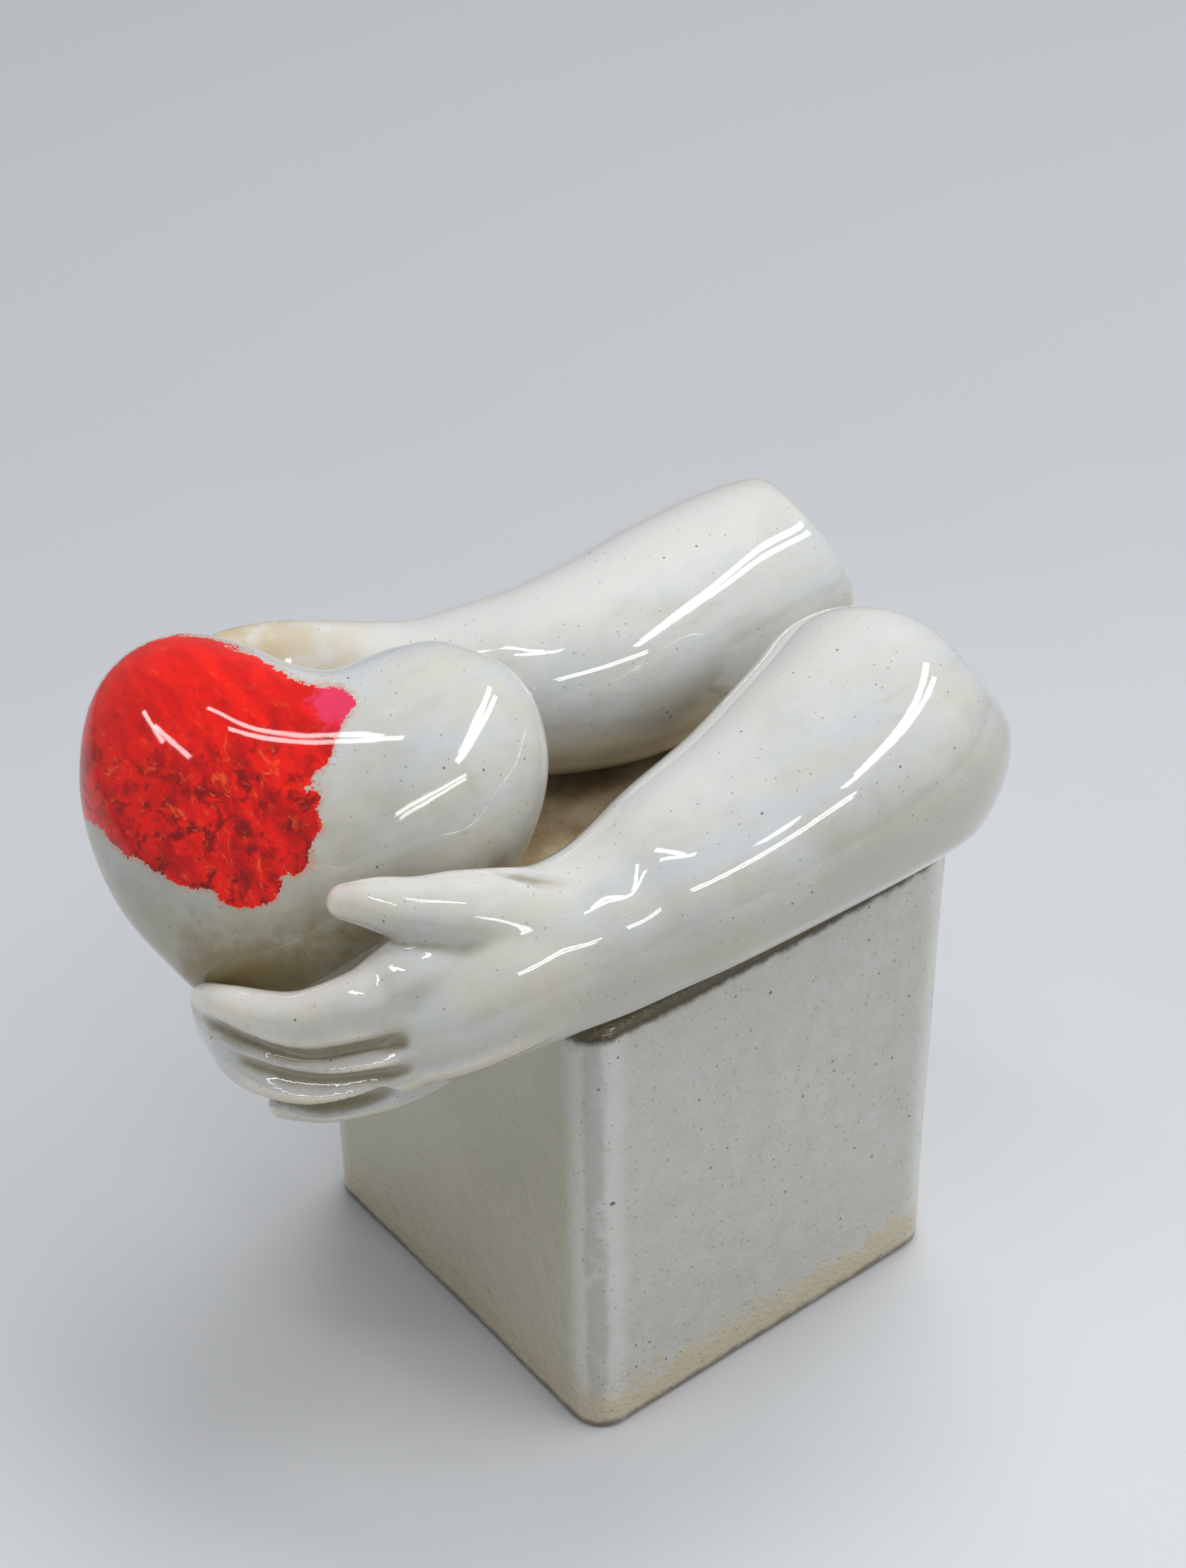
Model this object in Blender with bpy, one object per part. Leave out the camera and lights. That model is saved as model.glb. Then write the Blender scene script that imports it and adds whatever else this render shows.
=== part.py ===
"""Stoneware sculpture: two glazed forearms lie on a hollow slab-built plinth, and their hands cradle a heart.

Units are metres, +Z is up. The origin is the middle of the plinth's foot, X runs along its width and Y along its
depth. The left forearm lies along the plinth's front edge, the right forearm behind it, with the elbows towards +X.
"""
import math

import bmesh
import bpy
from mathutils import Vector

MM = 0.001
UP = Vector((0, 0, 1))

# Plinth: six slabs, with a small gap at each joint
PLINTH_WIDTH = 76 * MM
PLINTH_DEPTH = 78 * MM
PLINTH_HEIGHT = 89 * MM
SLAB = 7 * MM
GAP = 0.3 * MM
CORNER_RADIUS = 6 * MM
RIM_RADIUS = 3.6 * MM
FOOT_RADIUS = 1.2 * MM
VENT_RADIUS = 4 * MM
VENT_PLACE = (16 * MM, 14 * MM)

# The forearms lie flat on the plinth's top slab
REST_LEVEL = PLINTH_HEIGHT + GAP

# Stations along each limb, in millimetres: x, y, z of the centre, then the radius there
LEFT_FOREARM = [
    (-30.0, -33.1, 102.9, 13.5), (-24.3, -33.4, 103.8, 14.5), (-16.8, -34.2, 105.6, 16.3),
    (-2.4, -34.5, 107.6, 18.3), (10.6, -34.0, 109.8, 20.5), (20.8, -32.5, 111.2, 21.7),
    (27.2, -29.4, 111.8, 21.5),
]
RIGHT_FOREARM = [
    (-19.0, 29.6, 106.3, 12.1), (-14.5, 27.4, 106.3, 13.1), (-7.9, 23.7, 106.4, 14.8),
    (-1.8, 20.2, 106.5, 16.2), (10.8, 17.3, 106.9, 17.9), (25.8, 17.2, 107.8, 18.6),
    (38.8, 18.0, 107.9, 18.5), (48.0, 17.8, 107.5, 18.1),
]
LEFT_HAND = {
    "palm": [(-24.3, -33.4, 103.8, 14.5), (-30.0, -33.1, 102.9, 13.5), (-39.1, -31.0, 101.9, 12.8),
             (-45.8, -30.3, 101.3, 12.3), (-53.1, -28.6, 99.0, 11.2), (-58.7, -26.4, 96.8, 9.6),
             (-62.3, -24.4, 95.2, 7.8)],
    "thumb": [(-39.9, -30.2, 107.0, 8.8), (-44.9, -27.6, 109.1, 7.8), (-50.5, -24.8, 111.3, 6.4),
              (-55.7, -21.5, 112.4, 5.0), (-59.3, -16.9, 112.5, 4.0), (-61.9, -12.6, 111.4, 2.9)],
    "index": [(-50.3, -26.9, 103.7, 8.0), (-56.5, -24.8, 103.4, 7.0), (-61.4, -22.8, 101.5, 6.0),
              (-65.8, -21.0, 99.9, 5.0), (-72.6, -14.0, 95.9, 4.1), (-77.0, -2.8, 92.8, 3.4),
              (-77.0, 4.4, 89.4, 2.8)],
    "middle": [(-51.7, -28.6, 100.0, 7.0), (-61.5, -26.3, 95.4, 5.5), (-67.7, -23.0, 92.9, 4.3),
               (-74.1, -15.5, 89.8, 3.8), (-77.4, -4.6, 87.4, 3.4), (-76.4, 4.6, 84.2, 3.0)],
    "ring": [(-52.5, -29.5, 97.4, 6.0), (-60.4, -28.2, 92.2, 4.8), (-68.3, -23.5, 88.8, 3.9),
             (-74.8, -15.9, 85.6, 3.5), (-77.2, -5.2, 83.3, 3.2), (-75.6, 4.0, 80.8, 2.8)],
    "little": [(-51.3, -31.0, 94.8, 5.0), (-59.2, -28.9, 89.8, 3.9), (-64.8, -25.9, 86.3, 3.3),
               (-71.3, -19.2, 82.0, 2.9), (-74.8, -11.6, 78.6, 2.5)],
}
RIGHT_HAND = {
    "palm": [(-7.9, 23.7, 106.4, 14.8), (-14.5, 27.4, 106.3, 13.1), (-19.0, 29.6, 106.3, 12.1),
             (-25.6, 33.4, 107.2, 12.0), (-32.1, 36.2, 107.8, 12.8), (-39.5, 38.7, 107.8, 12.8),
             (-47.3, 40.3, 108.0, 11.0)],
    "thumb": [(-21.6, 33.4, 109.6, 8.0), (-29.7, 36.7, 113.4, 6.8), (-38.5, 41.3, 116.4, 5.6),
              (-45.9, 43.3, 118.0, 4.4)],
    "index": [(-36.9, 42.3, 108.7, 7.0), (-46.6, 45.7, 109.8, 5.5), (-55.0, 46.5, 108.9, 4.6),
              (-61.4, 44.6, 106.7, 4.0)],
    "middle": [(-38.4, 40.7, 104.1, 7.0), (-49.9, 43.8, 103.5, 5.4), (-58.9, 43.9, 101.3, 4.6),
               (-64.3, 41.3, 99.2, 4.0)],
    "ring": [(-39.9, 39.0, 100.0, 6.5), (-51.2, 40.5, 97.3, 5.2), (-59.9, 40.0, 94.7, 4.4),
             (-65.1, 37.7, 93.1, 3.8)],
    "little": [(-39.2, 37.1, 96.6, 5.8), (-50.5, 37.1, 92.2, 4.6), (-59.3, 34.7, 89.7, 4.0),
               (-64.3, 32.8, 88.6, 3.4)],
}
LIMB_SIDES = 28
FINGER_SIDES = 16
LOFT_STEPS = 3
LEFT_ELBOW_ROUNDING = 8.0
RIGHT_ELBOW_ROUNDING = 5.5
# The palms are flattened along the line from the viewer to the heart
PALM_BROAD_WAY = Vector((0.38, 0.47, 0.80))
PALM_FLATNESS = 0.72
WRIST_GAP = 0.3 * MM

# Heart: a middle plane with a domed shell on each side of it
HEART_CENTRE = Vector((-51.2, 11.6, 105.3)) * MM
HEART_NORMAL = Vector((-0.49, -0.63, 0.60)).normalized()
HEART_FRONT_RISE = 16.0
HEART_BACK_RISE = 13.0
HEART_WALL = 6.5
HEART_SEAM = 0.3
# Outline across and up from the heart's centre, in millimetres, from the cleft over the right lobe to the tip
HEART_OUTLINE = [
    (2.9, 23.4), (11.4, 27.4), (19.8, 28.6), (29.3, 25.0), (34.0, 19.6), (36.2, 11.3), (35.3, 3.0),
    (31.7, -5.4), (24.5, -14.3), (13.8, -23.2), (2.5, -29.0), (-8.8, -30.6), (-16.0, -27.4), (-22.5, -21.4),
    (-30.0, -13.0), (-34.8, -2.8), (-36.6, 7.7), (-35.0, 19.4), (-29.4, 27.2), (-20.3, 30.6),
    (-10.0, 28.2), (-2.9, 24.6),
]
HAND_CLEARANCE = 0.6


def clear_scene():
    for item in list(bpy.data.objects):
        bpy.data.objects.remove(item, do_unlink=True)


def material(name, colour, roughness):
    made = bpy.data.materials.new(name)
    made.use_nodes = True
    shader = made.node_tree.nodes["Principled BSDF"]
    shader.inputs["Base Color"].default_value = (*colour, 1)
    shader.inputs["Roughness"].default_value = roughness
    return made


def add_object(name, bm, surface, smooth=True):
    bmesh.ops.recalc_face_normals(bm, faces=bm.faces[:])
    mesh = bpy.data.meshes.new(name)
    bm.to_mesh(mesh)
    bm.free()
    if smooth:
        mesh.shade_smooth()
        mesh.set_sharp_from_angle(angle=math.radians(40))
    made = bpy.data.objects.new(name, mesh)
    bpy.context.collection.objects.link(made)
    if surface:
        made.data.materials.append(surface)
    return made


def hide_guide(item):
    item.hide_render = True
    item.display_type = "WIRE"


def smooth_path(stations, steps, closed=False):
    """Catmull-Rom curve through the stations, each a tuple of numbers."""
    rows = [Vector(row) for row in stations]
    count = len(rows)
    spans = count if closed else count - 1
    path = []
    for span in range(spans):
        if closed:
            before, start, end, after = (rows[(span + k) % count] for k in (-1, 0, 1, 2))
        else:
            before, start, end, after = (rows[min(max(span + k, 0), count - 1)] for k in (-1, 0, 1, 2))
        for step in range(steps):
            t = step / steps
            path.append(0.5 * (2 * start + (end - before) * t
                               + (2 * before - 5 * start + 4 * end - after) * t ** 2
                               + (3 * start - before - 3 * end + after) * t ** 3))
    if not closed:
        path.append(rows[-1])
    return path


def ring_at(bm, centre, along, radius, broad, flatness, sides, floor=None):
    wide = (broad - broad.dot(along) * along).normalized()
    thin = along.cross(wide)
    ring = []
    for side in range(sides):
        turn = 2 * math.pi * side / sides
        point = centre + wide * radius * math.cos(turn) + thin * radius * flatness * math.sin(turn)
        if floor is not None:
            point.z = max(point.z, floor)
        ring.append(bm.verts.new(point * MM))
    return ring


def loft(bm, stations, sides, broad=UP, end_flatness=1.0, round_start=None, round_end=None, floor=None):
    """Sweep an ellipse along the stations; a rounding in millimetres closes an end as a blunt dome."""
    path = smooth_path(stations, LOFT_STEPS)
    centres = [Vector(row[:3]) for row in path]
    radii = [row[3] for row in path]
    last = len(path) - 1
    rings = []

    def dome(centre, along, radius, rounding, flatness, outwards):
        made = []
        for angle in (18, 40, 62, 80):
            turn = math.radians(angle)
            inset = rounding * (1 - math.cos(turn))
            made.append(ring_at(bm, centre + along * outwards * rounding * math.sin(turn), along, radius - inset,
                                broad, flatness, sides, floor))
        return made

    for index, centre in enumerate(centres):
        along = (centres[min(index + 1, last)] - centres[max(index - 1, 0)]).normalized()
        flatness = 1 + (end_flatness - 1) * index / last
        ring = ring_at(bm, centre, along, radii[index], broad, flatness, sides, floor)
        if index == 0 and round_start:
            rings += reversed(dome(centre, along, radii[0], round_start, flatness, -1))
        rings.append(ring)
        if index == last and round_end:
            rings += dome(centre, along, radii[last], round_end, flatness, 1)
    for near, far in zip(rings, rings[1:]):
        for side in range(sides):
            bm.faces.new((near[side], near[(side + 1) % sides], far[(side + 1) % sides], far[side]))
    bm.faces.new(list(reversed(rings[0])))
    bm.faces.new(rings[-1])


def rounded_slab(low, high, edges_to_round):
    """A box whose chosen edges are rounded: pairs of a test on an edge's direction and place, and a radius."""
    bm = bmesh.new()
    bmesh.ops.create_cube(bm, size=1)
    low, high = Vector(low), Vector(high)
    for vert in bm.verts:
        vert.co = Vector(low[k] + (vert.co[k] + 0.5) * (high[k] - low[k]) for k in range(3))
    for chosen, radius, segments in edges_to_round:
        edges = [edge for edge in bm.edges if chosen(edge, low, high)]
        bmesh.ops.bevel(bm, geom=edges, offset=radius, segments=segments, profile=0.5, affect="EDGES",
                        clamp_overlap=False)
    return bm


def is_upright(edge):
    start, end = (vert.co for vert in edge.verts)
    return abs(start.z - end.z) > MM and (start - end).to_2d().length < 0.01 * MM


def is_outer_upright(edge, low, high):
    """An upright edge that lies on the plinth's own front or back face."""
    return is_upright(edge) and abs(abs(edge.verts[0].co.y) - PLINTH_DEPTH / 2) < 0.01 * MM


def is_any_upright(edge, low, high):
    return is_upright(edge)


def is_on_top(edge, low, high):
    return all(abs(vert.co.z - high.z) < 0.01 * MM for vert in edge.verts)


def is_on_foot(edge, low, high):
    return all(abs(vert.co.z - low.z) < 0.01 * MM for vert in edge.verts)


def make_plinth(glaze, raw_clay):
    half_x, half_y = PLINTH_WIDTH / 2, PLINTH_DEPTH / 2
    wall_low, wall_high = SLAB + GAP, PLINTH_HEIGHT - SLAB - GAP
    for name, side in (("plinth_front_wall", -1), ("plinth_back_wall", 1)):
        inner, outer = side * (half_y - SLAB), side * half_y
        low = (-half_x, min(inner, outer), wall_low)
        high = (half_x, max(inner, outer), wall_high)
        add_object(name, rounded_slab(low, high, [(is_outer_upright, CORNER_RADIUS, 5)]), glaze)
    reach = half_y - SLAB - GAP
    for name, side in (("plinth_left_wall", -1), ("plinth_right_wall", 1)):
        inner, outer = side * (half_x - SLAB), side * half_x
        low = (min(inner, outer), -reach, wall_low)
        high = (max(inner, outer), reach, wall_high)
        add_object(name, rounded_slab(low, high, []), glaze)
    top = rounded_slab((-half_x, -half_y, PLINTH_HEIGHT - SLAB), (half_x, half_y, PLINTH_HEIGHT),
                       [(is_any_upright, CORNER_RADIUS, 5), (is_on_top, RIM_RADIUS, 3)])
    add_object("plinth_top_slab", top, raw_clay)
    base = rounded_slab((-half_x, -half_y, 0), (half_x, half_y, SLAB),
                        [(is_any_upright, CORNER_RADIUS, 5), (is_on_foot, FOOT_RADIUS, 2)])
    base_slab = add_object("plinth_base_slab", base, raw_clay)
    vent = bmesh.new()
    bmesh.ops.create_cone(vent, cap_ends=True, segments=24, radius1=VENT_RADIUS, radius2=VENT_RADIUS,
                          depth=3 * SLAB)
    vent_cutter = add_object("vent_cutter", vent, None)
    vent_cutter.location = (*VENT_PLACE, SLAB / 2)
    hide_guide(vent_cutter)
    cut_away(base_slab, vent_cutter)


def cut_away(item, cutter):
    cut = item.modifiers.new("Cut by " + cutter.name, "BOOLEAN")
    cut.operation = "DIFFERENCE"
    cut.object = cutter


def make_forearm(name, stations, rounding, glaze):
    """The wrist end is cut square; the elbow end is a blunt stump."""
    bm = bmesh.new()
    loft(bm, stations, LIMB_SIDES, round_end=rounding, floor=REST_LEVEL / MM)
    return add_object(name, bm, glaze)


def heart_axes():
    across = UP.cross(HEART_NORMAL).normalized()
    return across, HEART_NORMAL.cross(across)


def heart_rings(bm, rise, inset, lift, angles):
    """Rings of a dome over the heart's outline, from its rim to near its top."""
    across, upwards = heart_axes()
    outline = [Vector(point) for point in smooth_path(HEART_OUTLINE, 2, closed=True)]
    reach = sum(point.length for point in outline) / len(outline)
    rings = []
    for angle in angles:
        turn = math.radians(angle)
        scale = math.cos(turn) ** 0.8 * (1 - inset / reach)
        height = lift + math.copysign(abs(rise) - inset, rise) * math.sin(turn) ** 0.9
        rings.append([bm.verts.new(HEART_CENTRE + (across * point.x + upwards * point.y) * scale * MM
                                   + HEART_NORMAL * height * MM) for point in outline])
    return rings


def bridge(bm, rings):
    for near, far in zip(rings, rings[1:]):
        for index in range(len(near)):
            after = (index + 1) % len(near)
            bm.faces.new((near[index], near[after], far[after], far[index]))


def close_with_fan(bm, ring):
    middle = bm.verts.new(sum((vert.co for vert in ring), Vector()) / len(ring))
    for index, vert in enumerate(ring):
        bm.faces.new((vert, ring[(index + 1) % len(ring)], middle))


OUTER_ANGLES = (0, 14, 28, 43, 58, 74)
INNER_ANGLES = (0, 22, 44, 68)


def make_heart_shell(name, rise, glaze):
    """A pinched bowl: outer dome, flat rim, inner dome."""
    bm = bmesh.new()
    lift = math.copysign(HEART_SEAM / 2, rise)
    outer = heart_rings(bm, rise, 0, lift, OUTER_ANGLES)
    inner = heart_rings(bm, rise, HEART_WALL, lift, INNER_ANGLES)
    rings = list(reversed(inner)) + outer
    bridge(bm, rings)
    close_with_fan(bm, rings[0])
    close_with_fan(bm, rings[-1])
    return add_object(name, bm, glaze)


def make_heart_cutter():
    """The whole heart, a little larger, which presses its shape into both hands."""
    bm = bmesh.new()
    front = heart_rings(bm, HEART_FRONT_RISE + HAND_CLEARANCE, 0, 0, OUTER_ANGLES)
    back = heart_rings(bm, -HEART_BACK_RISE - HAND_CLEARANCE, 0, 0, OUTER_ANGLES[1:])
    rings = list(reversed(back)) + front
    for ring in rings:
        for vert in ring:
            flat = vert.co - HEART_CENTRE
            flat -= flat.dot(HEART_NORMAL) * HEART_NORMAL
            vert.co += flat.normalized() * HAND_CLEARANCE * MM
    bridge(bm, rings)
    close_with_fan(bm, rings[0])
    close_with_fan(bm, rings[-1])
    cutter = add_object("heart_cutter", bm, None)
    hide_guide(cutter)
    return cutter


def make_wrist_cutter(name, stations):
    """A block on the forearm's side of the wrist joint, square to the forearm's first stretch."""
    start, after = (Vector(row[:3]) * MM for row in smooth_path(stations, LOFT_STEPS)[:2])
    along = (after - start).normalized()
    bm = bmesh.new()
    bmesh.ops.create_cube(bm, size=80 * MM)
    cutter = add_object(name, bm, None)
    cutter.rotation_mode = "QUATERNION"
    cutter.rotation_quaternion = along.to_track_quat("X", "Z")
    cutter.location = start + along * (40 * MM - WRIST_GAP)
    hide_guide(cutter)
    return cutter


def make_plinth_cutter():
    """The plinth's block, a little larger, which keeps the hands clear of its top and left faces."""
    bm = bmesh.new()
    bmesh.ops.create_cube(bm, size=1)
    bmesh.ops.scale(bm, vec=(PLINTH_WIDTH + 2 * GAP, PLINTH_DEPTH + 2 * GAP, REST_LEVEL), verts=bm.verts[:])
    cutter = add_object("plinth_cutter", bm, None)
    cutter.location = (0, 0, REST_LEVEL / 2)
    hide_guide(cutter)
    return cutter


def make_hand(name, shape, glaze, cutters, budget):
    """Palm, thumb and fingers fused like wet clay, then pressed against the heart and cut at the wrist."""
    bm = bmesh.new()
    for part, stations in shape.items():
        if part == "palm":
            loft(bm, stations, LIMB_SIDES, PALM_BROAD_WAY, PALM_FLATNESS, round_end=stations[-1][3] * 0.6)
        else:
            rounding = stations[-1][3] * 0.98
            loft(bm, stations, FINGER_SIDES, round_start=stations[0][3] * 0.9, round_end=rounding)
    hand = add_object(name, bm, glaze)
    fuse = hand.modifiers.new("Fuse", "REMESH")
    fuse.mode = "VOXEL"
    fuse.voxel_size = 1.0 * MM
    soften = hand.modifiers.new("Soften", "SMOOTH")
    soften.factor = 0.5
    soften.iterations = 3
    thin_out = hand.modifiers.new("Thin out", "DECIMATE")
    thin_out.ratio = budget
    for cutter in cutters:
        cut_away(hand, cutter)
    return hand


def main():
    clear_scene()
    plinth_glaze = material("plinth_glaze", (0.62, 0.62, 0.58), 0.35)
    raw_clay = material("raw_clay", (0.55, 0.45, 0.36), 0.85)
    white_glaze = material("white_glaze", (0.78, 0.76, 0.72), 0.08)
    heart_glaze = material("heart_glaze", (0.76, 0.74, 0.69), 0.08)
    make_plinth(plinth_glaze, raw_clay)
    make_forearm("left_forearm", LEFT_FOREARM, LEFT_ELBOW_ROUNDING, white_glaze)
    make_forearm("right_forearm", RIGHT_FOREARM, RIGHT_ELBOW_ROUNDING, white_glaze)
    make_heart_shell("heart_front_shell", HEART_FRONT_RISE, heart_glaze)
    make_heart_shell("heart_back_shell", -HEART_BACK_RISE, heart_glaze)
    heart_cutter = make_heart_cutter()
    plinth_cutter = make_plinth_cutter()
    for name, shape, forearm in (("left_hand", LEFT_HAND, LEFT_FOREARM), ("right_hand", RIGHT_HAND, RIGHT_FOREARM)):
        wrist_cutter = make_wrist_cutter(name + "_wrist_cutter", forearm)
        make_hand(name, shape, white_glaze, (heart_cutter, wrist_cutter, plinth_cutter), 0.16)


main()
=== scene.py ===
"""The looks of a stoneware sculpture: two glazed forearms lie on a plinth, and their hands cradle a heart.

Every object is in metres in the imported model's frame. Stations and outlines are in millimetres.
"""
import math

import bmesh
import bpy
import numpy as np
from mathutils import Matrix, Vector, noise
from mathutils.bvhtree import BVHTree


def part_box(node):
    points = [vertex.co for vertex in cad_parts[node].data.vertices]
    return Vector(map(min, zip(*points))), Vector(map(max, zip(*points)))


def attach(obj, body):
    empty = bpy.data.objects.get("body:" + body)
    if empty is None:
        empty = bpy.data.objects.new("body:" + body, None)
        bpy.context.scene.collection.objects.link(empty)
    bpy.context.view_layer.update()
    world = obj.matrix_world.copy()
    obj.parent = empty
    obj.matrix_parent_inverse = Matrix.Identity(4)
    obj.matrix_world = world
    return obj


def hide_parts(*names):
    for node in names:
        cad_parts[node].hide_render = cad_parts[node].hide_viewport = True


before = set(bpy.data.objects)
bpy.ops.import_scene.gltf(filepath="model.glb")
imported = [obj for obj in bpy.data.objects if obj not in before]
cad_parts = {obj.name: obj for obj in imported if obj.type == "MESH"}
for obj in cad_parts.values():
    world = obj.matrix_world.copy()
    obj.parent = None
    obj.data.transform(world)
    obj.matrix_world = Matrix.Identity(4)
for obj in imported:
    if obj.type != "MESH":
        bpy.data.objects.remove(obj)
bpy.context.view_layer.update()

MM = 0.001
UP = Vector((0, 0, 1))

# ---------------------------------------------------------------- the plinth's size, from the frame
FOOT_CORNER = Vector(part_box("plinth_base_slab")[1])
HALF_WIDTH = FOOT_CORNER.x
HALF_DEPTH = FOOT_CORNER.y
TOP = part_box("plinth_top_slab")[1][2]
# The arms stay this far off the plinth
CLEARANCE = 0.3 * MM
REST_LEVEL = TOP + CLEARANCE
CORNER_RADIUS = 6 * MM
RIM_RADIUS = 3.6 * MM
RIM_STEPS = 12
WALL_STEPS = 44
SIDE_STEPS = 36
CORNER_STEPS = 10
COAT_THICKNESS = 2.2 * MM
GLAZE_LINE = 0.9 * MM
# Slow and fine wobbles of the walls: the noise's waves to a metre, its shift, and the depth
WOBBLES = [(28, Vector((3.1, 7.7, 1.3)), 0.35 * MM), (95, Vector((8.2, 2.9, 4.1)), 0.08 * MM)]
TOP_INSET = RIM_RADIUS + COAT_THICKNESS + 0.1 * MM
# The edges of the bare top, upwards, and of the foot, downwards: how far in from the sides, and the height
TOP_PROFILE = [
    (TOP_INSET, TOP - 6 * MM), (TOP_INSET, TOP - 0.5 * MM), (TOP_INSET + 0.3 * MM, TOP - 0.25 * MM),
]
FOOT_PROFILE = [
    (0.9 * MM, 6.5 * MM), (0.35 * MM, 1.0 * MM), (0.5 * MM, 0.6 * MM), (0.8 * MM, 0.25 * MM), (1.2 * MM, 0.0),
]
VENT_RADIUS = 4 * MM
VENT_PLACE = Vector((16, 14, 0)) * MM

# ---------------------------------------------------------------- the limbs
# Each station is x, y and z of the centre, then the radius
LEFT_FOREARM = [
    (-30.0, -33.1, 102.9, 13.5), (-24.3, -33.4, 103.8, 14.5), (-16.8, -34.2, 105.6, 16.3),
    (-2.4, -34.5, 107.6, 18.3), (10.6, -34.0, 109.8, 20.5), (20.8, -32.5, 111.2, 21.7),
    (27.2, -29.4, 111.8, 21.5),
]
RIGHT_FOREARM = [
    (-19.0, 29.6, 106.3, 12.1), (-14.5, 27.4, 106.3, 13.1), (-7.9, 23.7, 106.4, 14.8),
    (-1.8, 20.2, 106.5, 16.2), (10.8, 17.3, 106.9, 17.9), (25.8, 17.2, 107.8, 18.6),
    (38.8, 18.0, 107.9, 18.5), (48.0, 17.8, 107.5, 18.1),
]
LEFT_HAND = {
    "palm": [(-24.3, -33.4, 103.8, 14.5), (-30.0, -33.1, 102.9, 13.5), (-39.1, -31.0, 101.9, 12.8),
             (-45.8, -30.3, 101.3, 12.3), (-53.1, -28.6, 99.0, 11.2), (-58.7, -26.4, 96.8, 9.6),
             (-62.3, -24.4, 95.2, 7.8)],
    "thumb": [(-39.9, -30.2, 107.0, 8.8), (-44.9, -27.6, 109.1, 7.8), (-50.5, -24.8, 111.3, 6.4),
              (-55.7, -21.5, 112.4, 5.0), (-59.3, -16.9, 112.5, 4.0), (-61.9, -12.6, 111.4, 2.9)],
    "index": [(-50.3, -26.9, 103.7, 8.0), (-56.5, -24.8, 103.4, 7.0), (-61.4, -22.8, 101.5, 6.0),
              (-65.8, -21.0, 99.9, 5.0), (-72.6, -14.0, 95.9, 4.1), (-77.0, -2.8, 92.8, 3.4),
              (-77.0, 4.4, 89.4, 2.8)],
    "middle": [(-51.7, -28.6, 100.0, 7.0), (-61.5, -26.3, 95.4, 5.5), (-67.7, -23.0, 92.9, 4.3),
               (-74.1, -15.5, 89.8, 3.8), (-77.4, -4.6, 87.4, 3.4), (-76.4, 4.6, 84.2, 3.0)],
    "ring": [(-52.5, -29.5, 97.4, 6.0), (-60.4, -28.2, 92.2, 4.8), (-68.3, -23.5, 88.8, 3.9),
             (-74.8, -15.9, 85.6, 3.5), (-77.2, -5.2, 83.3, 3.2), (-75.6, 4.0, 80.8, 2.8)],
    "little": [(-51.3, -31.0, 94.8, 5.0), (-59.2, -28.9, 89.8, 3.9), (-64.8, -25.9, 86.3, 3.3),
               (-71.3, -19.2, 82.0, 2.9), (-74.8, -11.6, 78.6, 2.5)],
}
RIGHT_HAND = {
    "palm": [(-7.9, 23.7, 106.4, 14.8), (-14.5, 27.4, 106.3, 13.1), (-19.0, 29.6, 106.3, 12.1),
             (-25.6, 33.4, 107.2, 12.0), (-32.1, 36.2, 107.8, 12.8), (-39.5, 38.7, 107.8, 12.8),
             (-47.3, 40.3, 108.0, 11.0)],
    "thumb": [(-21.6, 33.4, 109.6, 8.0), (-29.7, 36.7, 113.4, 6.8), (-38.5, 41.3, 116.4, 5.6),
              (-45.9, 43.3, 118.0, 4.4)],
    "index": [(-36.9, 42.3, 108.7, 7.0), (-46.6, 45.5, 109.8, 5.4), (-55.0, 46.3, 108.9, 4.5),
              (-61.4, 44.6, 106.7, 4.0)],
    "middle": [(-38.4, 40.7, 104.1, 7.0), (-49.9, 43.8, 103.5, 5.4), (-58.9, 43.9, 101.3, 4.6),
               (-64.3, 41.3, 99.2, 4.0)],
    "ring": [(-39.9, 39.0, 100.0, 6.5), (-51.2, 40.5, 97.3, 5.2), (-59.9, 40.0, 94.7, 4.4),
             (-65.1, 37.7, 93.1, 3.8)],
    "little": [(-39.2, 37.1, 96.6, 5.8), (-50.5, 37.1, 92.2, 4.6), (-59.3, 34.7, 89.7, 4.0),
               (-64.3, 32.8, 88.6, 3.4)],
}
# A round tool is drawn along each line: its half width, then x, y, z and the depth at each station.
# It presses in the valleys between the fingers and the thumb's crease, and pinches out the palm's edge.
LEFT_HAND_LINES = [
    (2.1, [(-80.0, 2.5, 89.0, 0.6), (-80.4, -3.4, 90.6, 1.6), (-78.8, -11.5, 91.5, 2.4),
           (-75.3, -19.7, 92.7, 2.8), (-69.4, -26.4, 95.7, 2.7), (-66.2, -28.9, 97.2, 1.6),
           (-62.8, -31.0, 98.9, 0.0)]),
    (2.1, [(-80.7, -4.6, 87.8, 0.9), (-78.6, -14.7, 88.3, 2.2), (-74.3, -22.4, 89.4, 2.6),
           (-68.8, -28.1, 91.3, 2.5), (-66.2, -29.9, 92.2, 1.5), (-62.8, -32.3, 93.6, 0.0)]),
    (2.1, [(-77.6, -11.0, 81.3, 0.6), (-76.8, -15.6, 82.6, 1.8), (-74.0, -20.9, 83.6, 2.7),
           (-68.8, -27.4, 86.9, 2.4), (-65.8, -30.2, 89.7, 0.0)]),
    (1.6, [(-43.8, -25.8, 115.6, 0.3), (-42.0, -27.6, 116.0, 1.2), (-40.1, -30.1, 115.6, 1.2),
           (-38.1, -32.5, 115.0, 0.5), (-36.6, -34.6, 114.4, 0.0)]),
    (1.8, [(-66.0, -30.0, 89.9, -0.3), (-62.8, -32.4, 91.9, -0.8), (-54.5, -38.5, 95.5, -0.8),
           (-46.4, -41.4, 97.7, -0.3)]),
]
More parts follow.
